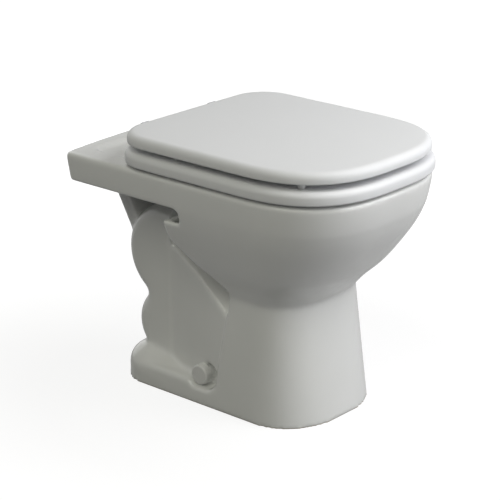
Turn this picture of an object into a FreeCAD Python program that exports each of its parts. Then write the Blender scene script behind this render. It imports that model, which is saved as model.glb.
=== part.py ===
import FreeCAD, Part
import math
import os

Vector = FreeCAD.Vector

# Overall sizes in millimetres. +Z is up, the front of the pan is -Y and X runs across it.
# The origin is on the floor, under the middle of the overall box.
overall_length = 534.0
rim_height = 385.0
cut_overrun = 5.0
tolerance = 0.001
y_back = overall_length / 2
y_front = -overall_length / 2

# Rim band and rear shelf
rim_width = 353.0
rim_front_inset = 2.0
rim_front_run = 169.0
rim_fullness = 2.8
shelf_depth = 47.0
shelf_corner_setback = 12.0
shelf_bow = 11.0
shelf_corner_radius = 9.0
shelf_draft = 4.0
rim_edge_radius = 5.0
recess_side_gap = 42.5
recess_rear_gap = 32.0
recess_front_setback = 166.0
recess_depth = 7.0
recess_corner_radius = 22.0

# Bowl skin: from the rim band down to the crease over the pedestal
crease_height = 190.0
crease_width = 212.0
crease_front_y = -148.0
crease_front_run = 73.0
crease_fullness = 2.4
skin_rear_y = 56.0
skin_level_shares = (1.0, 0.90, 0.76, 0.62, 0.47, 0.31, 0.17, -0.06)
skin_spread_shares = (0.93, 0.88, 0.79, 0.675, 0.54, 0.365, 0.175, -0.10)
band_spread_share = 0.6
heel_height = 280.0
heel_radius = 26.0
heel_front_y = -27.0
heel_front_height = 203.0
slot_front_y = 20.0
slot_height = 25.0
slot_depth = 48.0
slot_end_radius = 9.0

# Pedestal and foot
foot_width = 238.0
foot_front_y = -174.0
foot_front_run = 99.0
foot_fullness = 2.4
pedestal_rear_foot_y = 3.0
pedestal_rear_crease_y = -25.0
pedestal_rear_radius = 9.0
pedestal_overlap = 22.0

# Plinth behind the pedestal: a low ledge with a soft lip, and a skirt that falls from the trap's heel
plinth_rear_y = 212.0
plinth_corner_radius = 60.0
plinth_foot_inset = 0.6
plinth_front_y = -63.0
ledge_height = 36.0
ledge_lip_radius = 7.0
skirt_height = 68.0
skirt_front_y = 97.0
skirt_fall_deg = 13.0
skirt_level_shares = (0.0, 0.45, 0.62, 0.76, 0.88, 1.0)
skirt_step_shares = (0.0, 0.03, 0.16, 0.42, 0.72, 1.0)

# Trap body: crown, rear bulges and the web that joins it to the pedestal
trap_width = 164.0
trap_front_y = 120.0
crown_centre_y = 136.0
crown_centre_z = 213.0
crown_radius = 83.0
upper_bulge_radius = 84.0
lower_bulge_centre_y = 139.0
lower_bulge_centre_z = 92.0
lower_bulge_radius = 60.0
waist_radius = 8.0
trap_foot_z = 42.0
trap_edge_radius = 24.0
web_width = 124.0
web_top_z = 300.0

# Side panels that sweep from the trap out to the pedestal and roll in to a pocket under the heel
panel_rear_width = 156.0
panel_side_step = 5.0
panel_rear_top_z = 204.0
panel_front_top_z = 127.0
panel_roll_deg = 40.0

# Rear gusset under the shelf and the flush duct from the inlet to the rim
gusset_low_z = 222.0
gusset_low_width = 126.0
gusset_top_width = 182.0
gusset_low_rear_y = 218.0
gusset_thickness = 27.0
gusset_edge_radius = 8.0
inlet_height = 338.0
inlet_bore_radius = 27.0
duct_wall = 13.0

# Bowl inside: rim opening, flush channel under the rim, and the bowl down to the sump
rim_thickness = 16.0
opening_side_gap = 60.5
opening_front_gap = 50.0
opening_rear_setback = 190.0
opening_turn_y = -81.0
opening_fullness = 2.4
bowl_wall = 10.0
bowl_side_gap = 16.5
bowl_front_gap = 18.0
bowl_rear_setback = 172.0
sump_width = 84.0
sump_front_y = -115.0
sump_rear_y = -47.0
sump_height = 98.0
bowl_level_shares = (1.0, 0.90, 0.765, 0.58, 0.385, 0.195, 0.0)
bowl_spread_shares = (1.0, 0.98, 0.86, 0.56, 0.16, 0.03, 0.0)

# Trapway: a rounded passage up over the weir and down to the floor outlet
passage_width = 92.0
passage_height = 54.0
passage_corner_radius = 24.0
passage_wall = 10.0
passage_bend_radius = 39.0
passage_rise_deg = 28.0
passage_inlet_y = -81.0
outlet_y = 137.0
outlet_bore_radius = 45.0
outlet_bore_height = 82.0
seal_outer_radius = 57.0
seal_depth = 12.0
seal_bore_step = 1.0

# Hollows of the casting: inside the pedestal and web, between skin and bowl, and under the shelf
casting_wall = 10.0
hollow_height = 172.0
skin_hollow_height = 330.0
shelf_wall = 11.0
shelf_hollow_setback = 148.0
plinth_hollow_height = 14.0

# Seat ring and lid
seat_overhang = 3.5
seat_front_run = 171.0
seat_fullness = 2.73
seat_rear_setback = 110.5
seat_rear_radius = 68.0
seat_gap = 4.5
seat_thickness = 20.0
seat_edge_radius = 8.0
seat_inner_edge_radius = 7.0
seat_side_width = 69.0
seat_front_width = 62.0
seat_rear_width = 77.5
seat_opening_turn_y = -75.0
lid_inset = 4.0
lid_gap = 10.5
lid_thickness = 18.5
lid_edge_radius = 8.5
lid_low_edge_radius = 6.0

# Buffers: four pads under the lid and four under the seat ring
contact_gap = 0.3
lid_buffer_radius = 7.5
lid_buffer_dome = 4.0
lid_buffer_side_gaps = (27.0, 43.0)
lid_buffer_rear_gap = 124.5
lid_buffer_front_gap = 72.0
seat_buffer_radius = 6.5
seat_buffer_length = 26.0
seat_buffer_dome = 2.0
seat_buffer_side_gaps = (30.0, 40.0)
seat_buffer_rear_gap = 41.5
seat_buffer_front_gap = 114.0

# Hinges: the axis runs along X behind the seat, at the level of the lid's underside
hinge_spacing = 155.0
hinge_setback = 13.0
hinge_hole_radius = 7.0
fit_clearance = 0.1
pivot_clearance = 0.05
pin_radius = 3.0
pin_overhang = 1.5
pillar_head_width = 13.0
pillar_head_radius = 8.0
pillar_base_radius = 14.0
pillar_base_height = 5.0
pillar_foot_width = 19.0
pillar_foot_depth = 20.0
pillar_corner_radius = 3.0
base_washer_radius = 15.0
base_washer_thickness = 2.0
knuckle_radius = 5.5
knuckle_length = 18.0
knuckle_gap = 0.5
leaf_thickness = 2.5
leaf_reach = 58.0
leaf_corner_radius = 5.0
leaf_screw_radius = 1.6
leaf_screw_head_radius = 3.4
leaf_screw_head_height = 1.8
leaf_screw_length = 13.0
leaf_screw_end_gap = 8.0
leaf_screw_pitch = 20.0
stud_radius = 4.0
stud_depth_in_pillar = 16.0
stud_tail = 12.0
cone_flange_radius = 13.0
cone_flange_thickness = 6.0
cone_nose_length = 8.0
cone_nose_taper = 1.2
nut_washer_radius = 12.5
nut_washer_thickness = 2.0
nut_hub_radius = 8.0
nut_height = 11.0
nut_wing_span = 44.0
nut_wing_drop = 5.0
nut_wing_thickness = 4.5

# Side fixings low in the web: cap, screw, washer, sleeve and the floor bracket inside
fixing_y = 33.0
fixing_height = 45.0
fixing_seat_x = 97.0
fixing_boss_radius = 15.5
fixing_pocket_x = 84.0
fixing_pocket_height = 38.0
fixing_pocket_front_reach = 36.0
fixing_pocket_rear_reach = 20.0
fixing_hole_radius = 7.0
sleeve_flange_radius = 12.6
sleeve_flange_thickness = 2.0
fixing_screw_radius = 3.0
fixing_washer_radius = 9.0
fixing_washer_thickness = 1.5
fixing_head_radius = 6.0
fixing_head_height = 3.6
fixing_screw_tail = 12.0
cap_radius = 16.5
cap_height = 13.0
cap_wall = 3.2
cap_edge_radius = 3.0
bracket_width = 32.0
bracket_height = 58.0
bracket_reach = 46.0
bracket_thickness = 3.0
bracket_hole_setback = 26.0
bracket_hole_radius = 4.0

# Seals
inlet_seal_length = 30.0
flush_pipe_radius = 20.0

# Levels and places worked out from the sizes above
recess_width = rim_width - 2 * recess_side_gap
opening_width = rim_width - 2 * opening_side_gap
opening_front_y = y_front + opening_front_gap
opening_rear_y = y_back - opening_rear_setback
bowl_top_width = rim_width - 2 * bowl_side_gap
bowl_top_front_y = y_front + bowl_front_gap
bowl_top_rear_y = y_back - bowl_rear_setback
seat_width = rim_width + 2 * seat_overhang
seat_rear_y = y_back - seat_rear_setback
seat_opening_width = seat_width - 2 * seat_side_width
seat_opening_front_y = y_front + seat_front_width
seat_opening_rear_y = seat_rear_y - seat_rear_width
hinge_axis_y = seat_rear_y + hinge_setback
shelf_z = rim_height - shelf_depth
recess_z = rim_height - recess_depth
shelf_under_z = recess_z - shelf_wall
seat_z = rim_height + seat_gap
seat_top_z = seat_z + seat_thickness
lid_z = seat_top_z + lid_gap
hinge_axis_z = lid_z
hinge_x = hinge_spacing / 2
nut_washer_z = shelf_under_z - cone_flange_thickness - nut_washer_thickness
nut_z = nut_washer_z - nut_height
bracket_x = fixing_pocket_x - casting_wall
fixing_washer_x = fixing_seat_x + sleeve_flange_thickness
fixing_head_x = fixing_washer_x + fixing_washer_thickness


def superellipse_points(half_width, turn_y, tip_y, fullness, z, count=17):
    """Points from +X round the tip to -X."""
    run = tip_y - turn_y
    points = []
    for step in range(count):
        angle = math.pi * step / (count - 1)
        across = abs(math.cos(angle) / half_width) ** fullness
        along = abs(math.sin(angle) / run) ** fullness
        reach = (across + along) ** (-1 / fullness)
        depth = math.copysign(reach * math.sin(angle), run)
        points.append(Vector(reach * math.cos(angle), turn_y + depth, z))
    points[0] = Vector(half_width, turn_y, z)
    points[-1] = Vector(-half_width, turn_y, z)
    return points


def superellipse(half_width, turn_y, tip_y, fullness, z):
    """Edge from +X round the tip to -X, square to the straight sides at both ends."""
    curve = Part.BSplineCurve()
    curve.interpolate(superellipse_points(half_width, turn_y, tip_y, fullness, z))
    return curve.toShape()


def arc(start, middle, end):
    return Part.Arc(start, middle, end).toShape()


def line(start, end):
    return Part.LineSegment(start, end).toShape()


def polygon_edges(points):
    return [line(start, end) for start, end in zip(points, points[1:] + points[:1])]


def between(low, high, share):
    return low + (high - low) * share


def d_outline(half_width, turn_y, tip_y, fullness, rear_y, corner_radius, z, bow=0.0):
    """Closed wire with a full front, straight sides, rounded rear corners and a bowed rear edge."""
    lift = corner_radius * (1 - math.sqrt(0.5))
    left = -half_width
    right = half_width
    side_end_y = rear_y - corner_radius
    rear_left = Vector(left + corner_radius, rear_y, z)
    rear_right = Vector(right - corner_radius, rear_y, z)
    if bow:
        rear = arc(rear_left, Vector(0, rear_y + bow, z), rear_right)
    else:
        rear = line(rear_left, rear_right)
    return Part.Wire([
        superellipse(half_width, turn_y, tip_y, fullness, z),
        line(Vector(left, turn_y, z), Vector(left, side_end_y, z)),
        arc(Vector(left, side_end_y, z), Vector(left + lift, rear_y - lift, z), rear_left),
        rear,
        arc(rear_right, Vector(right - lift, rear_y - lift, z), Vector(right, side_end_y, z)),
        line(Vector(right, side_end_y, z), Vector(right, turn_y, z)),
    ])


def egg_outline(half_width, front_y, turn_y, rear_y, fullness, z):
    """Closed oval wire, fuller at the front than a circle and widest at turn_y."""
    front = superellipse_points(half_width, turn_y, front_y, fullness, z)
    rear = superellipse_points(half_width, turn_y, rear_y, fullness, z)
    curve = Part.BSplineCurve()
    curve.interpolate(front + rear[-2:0:-1], PeriodicFlag=True)
    return Part.Wire([curve.toShape()])


def side_prism(edges, width):
    """Closed profile drawn in the YZ plane, made into a prism centred on X = 0."""
    face = Part.Face(Part.Wire(edges))
    face.translate(Vector(-width / 2, 0, 0))
    return face.extrude(Vector(width, 0, 0))


def side_point(y, z):
    return Vector(0, y, z)


def on_circle(centre, radius, angle_deg):
    angle = math.radians(angle_deg)
    return centre + side_point(radius * math.cos(angle), radius * math.sin(angle))


def block(x_low, x_high, y_low, y_high, z_low, z_high):
    return Part.makeBox(x_high - x_low, y_high - y_low, z_high - z_low, Vector(x_low, y_low, z_low))


def upright_edges(shape):
    """Straight edges of a block that stand along Z."""
    return [edge for edge in shape.Edges if abs(edge.tangentAt(edge.FirstParameter).z) > 0.99]


def both_sides(shape):
    """The shape and its mirror image across X = 0."""
    return [shape, shape.mirror(Vector(0, 0, 0), Vector(1, 0, 0))]


def skin_outline(spread, z, rear_y, corner_radius, bow=0.0, inset=0.0):
    """Outline of the bowl at one height: spread 0 is the crease, 1 is the rim."""
    half_width = between(crease_width, rim_width, spread) / 2 - inset
    tip_y = between(crease_front_y, y_front + rim_front_inset, spread) + inset
    run = between(crease_front_run, rim_front_run, spread)
    fullness = between(crease_fullness, rim_fullness, spread)
    return d_outline(half_width, tip_y + run, tip_y, fullness, rear_y, corner_radius, z, bow)


def make_band():
    rear_y = y_back - shelf_corner_setback
    low_spread = skin_spread_shares[0]
    mid_spread = between(low_spread, 1, band_spread_share)
    low = skin_outline(low_spread, shelf_z, rear_y - shelf_draft, shelf_corner_radius, shelf_bow)
    mid_z = shelf_z + shelf_depth / 2
    mid = skin_outline(mid_spread, mid_z, rear_y - shelf_draft / 2, shelf_corner_radius, shelf_bow)
    top = skin_outline(1, rim_height, rear_y, shelf_corner_radius, shelf_bow)
    band = Part.makeLoft([low, mid, top], True, False)
    top_edges = [edge for edge in band.Edges if edge.BoundBox.ZMin > rim_height - cut_overrun]
    return band.makeFillet(rim_edge_radius, top_edges)


def make_skin(inset, z_top):
    """Bowl skin up to z_top, cut off behind and along the heel that rises from the pedestal."""
    sections = []
    for level, spread in zip(skin_level_shares, skin_spread_shares):
        z = between(crease_height, shelf_z, level)
        sections.append(skin_outline(spread, z, skin_rear_y + cut_overrun, cut_overrun, 0, inset))
    loft = Part.makeLoft(sections, True, False)
    low = crease_height - pedestal_overlap
    heel_slope = math.atan2(heel_height - heel_front_height, skin_rear_y - heel_front_y)
    heel_lift = inset * (1 / math.cos(heel_slope) - math.tan(heel_slope))
    keep = side_prism(polygon_edges([
        side_point(skin_rear_y - inset, z_top),
        side_point(skin_rear_y - inset, heel_height + heel_lift),
        side_point(heel_front_y - inset, heel_front_height + heel_lift),
        side_point(heel_front_y - inset, low),
        side_point(y_front, low),
        side_point(y_front, z_top),
    ]), rim_width + cut_overrun)
    heel = [edge for edge in keep.Edges if edge.BoundBox.XLength > rim_width
            and edge.BoundBox.YMin > skin_rear_y - inset - tolerance
            and edge.BoundBox.ZMax < z_top - tolerance]
    keep = keep.makeFillet(heel_radius, heel)
    return loft.common(keep)


def make_slot_cutter():
    inner = between(crease_width, rim_width, skin_spread_shares[1]) / 2 - slot_depth
    cutter = block(inner, rim_width, slot_front_y, skin_rear_y + cut_overrun, shelf_z - slot_height, shelf_z)
    ends = [edge for edge in cutter.Edges if edge.BoundBox.XLength > slot_depth
            and abs(edge.BoundBox.YMin - slot_front_y) < tolerance]
    return cutter.makeFillet(slot_end_radius, ends)


def make_pedestal(inset, z_low, z_high):
    sections = []
    for z in (z_low, z_high):
        share = z / crease_height
        half_width = between(foot_width, crease_width, share) / 2 - inset
        tip_y = between(foot_front_y, crease_front_y, share) + inset
        run = between(foot_front_run, crease_front_run, share)
        rear_y = between(pedestal_rear_foot_y, pedestal_rear_crease_y, share) - inset
        sections.append(d_outline(half_width, tip_y + run, tip_y, foot_fullness,
                                  rear_y, pedestal_rear_radius, z))
    return Part.makeLoft(sections, True, True)


def plinth_outline(inset, front_y, z):
    """Outline of the plinth at one height: straight sides and round rear corners."""
    half_width = foot_width / 2 - inset
    rear_y = plinth_rear_y - inset
    radius = plinth_corner_radius - inset
    lift = radius * (1 - math.sqrt(0.5))
    side_y = rear_y - radius
    corner_x = half_width - radius
    return Part.Wire([
        line(Vector(half_width, front_y, z), Vector(half_width, side_y, z)),
        arc(Vector(half_width, side_y, z), Vector(half_width - lift, rear_y - lift, z),
            Vector(corner_x, rear_y, z)),
        line(Vector(corner_x, rear_y, z), Vector(-corner_x, rear_y, z)),
        arc(Vector(-corner_x, rear_y, z), Vector(lift - half_width, rear_y - lift, z),
            Vector(-half_width, side_y, z)),
        line(Vector(-half_width, side_y, z), Vector(-half_width, front_y, z)),
        line(Vector(-half_width, front_y, z), Vector(half_width, front_y, z)),
    ])


def make_ledge():
    """Low ledge round the foot of the trap and the web, drawn in upwards like the pedestal."""
    draft = (foot_width - crease_width) / 2 * ledge_height / crease_height
    low = plinth_outline(plinth_foot_inset, plinth_front_y, 0)
    top = plinth_outline(plinth_foot_inset + draft, plinth_front_y, ledge_height)
    ledge = Part.makeLoft([low, top], True, True)
    lip = [edge for edge in level_edges(ledge, ledge_height)
           if edge.BoundBox.YMax > plinth_front_y + tolerance]
    return ledge.makeFillet(ledge_lip_radius, lip)


def make_skirt():
    """Swelling from the ledge up to the trap, falling to the front."""
    reach = (foot_width - trap_width) / 2
    sections = []
    for level, step in zip(skirt_level_shares, skirt_step_shares):
        z = skirt_height * level
        outline = plinth_outline(reach * step + plinth_foot_inset, skirt_front_y, z)
        outline.rotate(Vector(0, plinth_rear_y, z), Vector(1, 0, 0), skirt_fall_deg * level)
        sections.append(outline)
    return Part.makeLoft(sections, True, False)


def circles_meet(centre_a, radius_a, centre_b, radius_b):
    """The rearward of the two points where two circles in the YZ plane cross."""
    apart = centre_b.sub(centre_a)
    along = (radius_a ** 2 - radius_b ** 2 + apart.Length ** 2) / (2 * apart.Length)
    across = math.sqrt(radius_a ** 2 - along ** 2)
    unit = Vector(apart)
    unit.normalize()
    side = Vector(0, -unit.z, unit.y)
    if side.y < 0:
        side = -side
    return centre_a + unit * along + side * across


def angle_about(centre, point):
    return math.degrees(math.atan2(point.z - centre.z, point.y - centre.y))


def arc_about(centre, radius, start_deg, end_deg):
    middle_deg = (start_deg + end_deg) / 2
    return arc(on_circle(centre, radius, start_deg), on_circle(centre, radius, middle_deg),
               on_circle(centre, radius, end_deg))


def make_trap():
    crown = side_point(crown_centre_y, crown_centre_z)
    upper = side_point(crown_centre_y + crown_radius - upper_bulge_radius, crown_centre_z)
    lower = side_point(lower_bulge_centre_y, lower_bulge_centre_z)
    waist = circles_meet(upper, upper_bulge_radius + waist_radius, lower, lower_bulge_radius + waist_radius)
    top_deg = math.degrees(math.acos((trap_front_y - crown_centre_y) / crown_radius))
    foot_deg = -math.degrees(math.asin((lower_bulge_centre_z - trap_foot_z) / lower_bulge_radius))
    upper_deg = angle_about(upper, waist)
    lower_deg = angle_about(lower, waist)
    front_top = on_circle(crown, crown_radius, top_deg)
    foot = on_circle(lower, lower_bulge_radius, foot_deg)
    trap = side_prism([
        arc_about(crown, crown_radius, top_deg, 0),
        arc_about(upper, upper_bulge_radius, 0, upper_deg),
        arc_about(waist, waist_radius, upper_deg + 180, lower_deg + 180),
        arc_about(lower, lower_bulge_radius, lower_deg, foot_deg),
        line(foot, side_point(foot.y, 0)),
        line(side_point(foot.y, 0), side_point(trap_front_y, 0)),
        line(side_point(trap_front_y, 0), front_top),
    ], trap_width)
    rounded = [edge for edge in trap.Edges if edge.Curve.TypeId == "Part::GeomCircle"
               and edge.BoundBox.XLength < tolerance and edge.BoundBox.ZMin > tolerance]
    return trap.makeFillet(trap_edge_radius, rounded)


def make_web():
    low_y = pedestal_rear_crease_y - pedestal_overlap
    return side_prism(polygon_edges([
        side_point(low_y, 0),
        side_point(trap_front_y + cut_overrun, 0),
        side_point(trap_front_y + cut_overrun, crown_centre_z + crown_radius / 2),
        side_point(skin_rear_y, web_top_z),
        side_point(low_y, web_top_z),
    ]), web_width)


def panel_plan(inset, z):
    """Outline of the side panels at one height, from the trap out to the pedestal's sides."""
    share = z / crease_height
    front_half = between(foot_width, crease_width, share) / 2 - panel_side_step - inset
    front_y = between(pedestal_rear_foot_y, pedestal_rear_crease_y, share) - pedestal_rear_radius - inset
    rear_half = panel_rear_width / 2 - inset
    rear_y = trap_front_y + cut_overrun - inset
    return Part.Wire(polygon_edges([
        Vector(front_half, front_y, z),
        Vector(rear_half, rear_y, z),
        Vector(-rear_half, rear_y, z),
        Vector(-front_half, front_y, z),
    ]))


def panel_side(x, lift):
    """Side view of a panel with its sloping top raised by lift."""
    low_y = pedestal_rear_crease_y - pedestal_overlap
    rear_y = trap_front_y + cut_overrun
    points = [
        side_point(low_y, -cut_overrun),
        side_point(rear_y, -cut_overrun),
        side_point(rear_y, panel_rear_top_z + lift),
        side_point(low_y, panel_front_top_z + lift),
    ]
    return Part.Wire(polygon_edges([point + Vector(x, 0, 0) for point in points]))


def make_panels(inset, z_low, z_high):
    """The two side panels; their tops rise inwards, which leaves a pocket under the heel of the bowl."""
    slope = math.radians(panel_roll_deg)
    drop = inset / math.cos(slope)
    rise = math.tan(slope) * foot_width / 2
    side = Part.makeLoft([panel_side(0, rise - drop), panel_side(foot_width / 2, -drop)], True, True)
    plan = Part.makeLoft([panel_plan(inset, z_low), panel_plan(inset, z_high)], True, True)
    return [plan.common(half) for half in both_sides(side)]


def rounded_rectangle(width, y_low, y_high, radius, z):
    plate = block(-width / 2, width / 2, y_low, y_high, z, z + cut_overrun)
    plate = plate.makeFillet(radius, upright_edges(plate))
    return [face for face in plate.Faces if face.BoundBox.ZMax < z + cut_overrun / 2][0].OuterWire


def make_gusset():
    top_z = shelf_z + cut_overrun
    top_rear_y = y_back - shelf_corner_setback - shelf_draft
    low = rounded_rectangle(gusset_low_width, gusset_low_rear_y - gusset_thickness, gusset_low_rear_y,
                            gusset_edge_radius, gusset_low_z)
    top = rounded_rectangle(gusset_top_width, top_rear_y - gusset_thickness, top_rear_y,
                            gusset_edge_radius, top_z)
    return Part.makeLoft([low, top], True, True)


def lengthwise_cylinder(radius, y_low, y_high, z):
    return Part.makeCylinder(radius, y_high - y_low, Vector(0, y_low, z), Vector(0, 1, 0))


def make_bowl(wall):
    """The bowl inside, from the flush channel under the rim to the sump, grown by a wall on every side."""
    top = rim_height - rim_thickness
    sections = []
    for level, spread in zip(bowl_level_shares, bowl_spread_shares):
        z = between(sump_height - wall, top, level)
        front_y = between(sump_front_y, bowl_top_front_y, spread) - wall
        rear_y = between(sump_rear_y, bowl_top_rear_y, spread) + wall
        half_width = between(sump_width, bowl_top_width, spread) / 2 + wall
        turn_y = between((sump_front_y + sump_rear_y) / 2, opening_turn_y, spread)
        sections.append(egg_outline(half_width, front_y, turn_y, rear_y, opening_fullness, z))
    return Part.makeLoft(sections, True, False)


def make_opening():
    low = rim_height - rim_thickness - cut_overrun
    outline = egg_outline(opening_width / 2, opening_front_y, opening_turn_y, opening_rear_y,
                          opening_fullness, low)
    return Part.Face(outline).extrude(Vector(0, 0, rim_thickness + 2 * cut_overrun))


def make_passage(wall):
    """Trapway swept along its centre line: up from the sump, over the weir and down to the outlet."""
    crown = side_point(crown_centre_y, crown_centre_z)
    bend = passage_bend_radius
    slope = math.radians(passage_rise_deg)
    up_end = on_circle(crown, bend, 90 + passage_rise_deg)
    start = side_point(passage_inlet_y, up_end.z - (up_end.y - passage_inlet_y) * math.tan(slope))
    down_start = on_circle(crown, bend, -passage_rise_deg)
    elbow_y = outlet_y + bend * (1 - math.cos(slope))
    down_run = (down_start.y - elbow_y) / math.sin(slope)
    down_end = down_start + side_point(-math.sin(slope), -math.cos(slope)) * down_run
    elbow = side_point(outlet_y + bend, down_end.z - bend * math.sin(slope))
    elbow_end = on_circle(elbow, bend, 180)
    path = Part.Wire([
        line(start, up_end),
        arc(up_end, on_circle(crown, bend, 45), down_start),
        line(down_start, down_end),
        arc(down_end, on_circle(elbow, bend, 180 - passage_rise_deg / 2), elbow_end),
        line(elbow_end, side_point(outlet_y, outlet_bore_height - cut_overrun)),
    ])
    half_height = passage_height / 2 + wall
    profile = rounded_rectangle(passage_width + 2 * wall, -half_height, half_height,
                                passage_corner_radius + wall, 0)
    profile.rotate(Vector(0, 0, 0), Vector(1, 0, 0), -90 + passage_rise_deg)
    profile.translate(start)
    return path.makePipeShell([profile], True, False)


def make_hollow(shell):
    """Space inside the pedestal, web and skin, open at the floor, clear of the bowl and the trapway."""
    pedestal_hollow = make_pedestal(casting_wall, -cut_overrun, hollow_height)
    panel_hollows = make_panels(casting_wall, -cut_overrun, hollow_height)
    skin_hollow = make_skin(casting_wall, skin_hollow_height)
    half = foot_width / 2 - casting_wall
    foot = block(-half, half, plinth_front_y, plinth_rear_y - casting_wall,
                 -cut_overrun, plinth_hollow_height)
    foot = foot.makeFillet(plinth_corner_radius - casting_wall, upright_edges(foot))
    outlet = upright_cylinder(seal_outer_radius + casting_wall, 0, outlet_y, -cut_overrun, outlet_bore_height)
    hollow = pedestal_hollow.fuse([skin_hollow, foot] + panel_hollows)
    pockets = both_sides(make_fixing_pocket(casting_wall))
    return hollow.cut([shell, make_passage(passage_wall), outlet] + pockets)


def make_shelf_hollow():
    """Underside of the rear shelf, leaving its edge, its top and the flush duct."""
    rear_y = y_back - shelf_corner_setback - shelf_draft - casting_wall
    half = between(crease_width, rim_width, skin_spread_shares[0]) / 2 - casting_wall
    front_y = y_back - shelf_hollow_setback
    hollow = block(-half, half, front_y, rear_y, shelf_z - cut_overrun, shelf_under_z)
    duct = lengthwise_cylinder(inlet_bore_radius + duct_wall, 0, y_back, inlet_height)
    return hollow.cut([duct, make_gusset()])


def crosswise_cylinder(radius, x_low, x_high, y, z):
    return Part.makeCylinder(radius, x_high - x_low, Vector(x_low, y, z), Vector(1, 0, 0))


def upright_cylinder(radius, x, y, z_low, z_high):
    return Part.makeCylinder(radius, z_high - z_low, Vector(x, y, z_low))


def make_recess():
    half = recess_width / 2
    front_y = y_back - recess_front_setback
    recess = block(-half, half, front_y, y_back - recess_rear_gap, recess_z, rim_height + cut_overrun)
    return recess.makeFillet(recess_corner_radius, upright_edges(recess))


def make_fixing_pocket(wall):
    """Oblong pocket round the cap, open towards the pedestal, grown by a wall on every side."""
    half = fixing_pocket_height / 2 + wall
    front_y = fixing_y - fixing_pocket_front_reach - wall
    rear_y = fixing_y + fixing_pocket_rear_reach + wall
    low_z = fixing_height - half
    pocket = block(fixing_pocket_x - wall, foot_width, front_y, rear_y, low_z, low_z + 2 * half)
    ends = [edge for edge in pocket.Edges if edge.BoundBox.XLength > foot_width - fixing_pocket_x - tolerance]
    return pocket.makeFillet(half - tolerance, ends)


def make_pan():
    skin = make_skin(0, shelf_z).cut(both_sides(make_slot_cutter()))
    shell = make_bowl(bowl_wall)
    boss = crosswise_cylinder(fixing_boss_radius, 0, fixing_seat_x, fixing_y, fixing_height)
    duct_radius = inlet_bore_radius + duct_wall
    solids = [
        skin,
        shell,
        make_pedestal(0, 0, crease_height + pedestal_overlap),
        make_ledge(),
        make_skirt(),
        make_trap(),
        make_web(),
        make_gusset(),
        lengthwise_cylinder(duct_radius, skin_rear_y, y_back, inlet_height),
    ]
    pan = make_band().fuse(solids + make_panels(0, 0, heel_height))
    pan = pan.cut(both_sides(make_fixing_pocket(0))).fuse(both_sides(boss))
    fixing_hole = crosswise_cylinder(fixing_hole_radius, 0, foot_width, fixing_y, fixing_height)
    hinge_hole = upright_cylinder(hinge_hole_radius, hinge_x, hinge_axis_y, shelf_z, rim_height)
    cuts = [
        make_recess(),
        make_opening(),
        make_bowl(0),
        make_passage(0),
        make_hollow(shell),
        make_shelf_hollow(),
        upright_cylinder(outlet_bore_radius, 0, outlet_y, -cut_overrun, outlet_bore_height),
        upright_cylinder(seal_outer_radius, 0, outlet_y, -cut_overrun, seal_depth),
        lengthwise_cylinder(inlet_bore_radius, skin_rear_y, y_back + cut_overrun, inlet_height),
    ]
    return pan.cut(cuts + both_sides(fixing_hole) + both_sides(hinge_hole))


def seat_outline(inset, z):
    tip_y = y_front + inset
    return d_outline(seat_width / 2 - inset, tip_y + seat_front_run, tip_y, seat_fullness,
                     seat_rear_y - inset, seat_rear_radius - inset, z)


def level_edges(shape, z):
    """Edges that lie wholly at one height."""
    return [edge for edge in shape.Edges
            if abs(edge.BoundBox.ZMin - z) < tolerance and abs(edge.BoundBox.ZMax - z) < tolerance]


def leaf_screw_places():
    """Places of the two screws of a leaf on the hinge's own middle plane."""
    first_y = hinge_axis_y - leaf_reach + leaf_screw_end_gap
    return [first_y, first_y + leaf_screw_pitch]


def lid_leaf_x():
    outer = -pillar_head_width / 2 - knuckle_gap
    return outer - knuckle_length, outer


def seat_leaf_x():
    inner = pillar_head_width / 2 + knuckle_gap
    return inner, inner + knuckle_length


def pilot_holes(leaf_x, z_low, z_high):
    """Screw holes of one leaf and of its mirror image on the other hinge."""
    x = hinge_x + sum(leaf_x) / 2
    radius = leaf_screw_radius + fit_clearance
    holes = [upright_cylinder(radius, x, y, z_low, z_high) for y in leaf_screw_places()]
    return both_sides(holes[0]) + both_sides(holes[1])


def make_seat():
    """Ring with soft edges outside and inside."""
    ring = Part.Face(seat_outline(0, seat_z)).extrude(Vector(0, 0, seat_thickness))
    ring = ring.makeFillet(seat_edge_radius, level_edges(ring, seat_z) + level_edges(ring, seat_top_z))
    outline = egg_outline(seat_opening_width / 2, seat_opening_front_y, seat_opening_turn_y,
                          seat_opening_rear_y, opening_fullness, seat_z - cut_overrun)
    hole = Part.Face(outline).extrude(Vector(0, 0, seat_thickness + 2 * cut_overrun))
    ring = ring.cut(hole)
    inner = [edge for edge in level_edges(ring, seat_z) + level_edges(ring, seat_top_z)
             if hole.BoundBox.isInside(edge.BoundBox)]
    ring = ring.makeFillet(seat_inner_edge_radius, inner)
    depth = leaf_screw_length - leaf_thickness + fit_clearance
    return ring.cut(pilot_holes(seat_leaf_x(), seat_top_z - depth, seat_top_z))


def make_lid():
    lid = Part.Face(seat_outline(lid_inset, lid_z)).extrude(Vector(0, 0, lid_thickness))
    lid = lid.makeFillet(lid_low_edge_radius, level_edges(lid, lid_z))
    lid = lid.makeFillet(lid_edge_radius, level_edges(lid, lid_z + lid_thickness))
    depth = leaf_screw_length - leaf_thickness + fit_clearance
    return lid.cut(pilot_holes(lid_leaf_x(), lid_z, lid_z + depth))


def make_lid_buffer(x, y):
    """Round pad under the lid with a domed foot just clear of the seat ring."""
    low = seat_top_z + contact_gap
    pad = upright_cylinder(lid_buffer_radius, x, y, low, lid_z)
    return pad.makeFillet(lid_buffer_dome, level_edges(pad, low))


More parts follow.
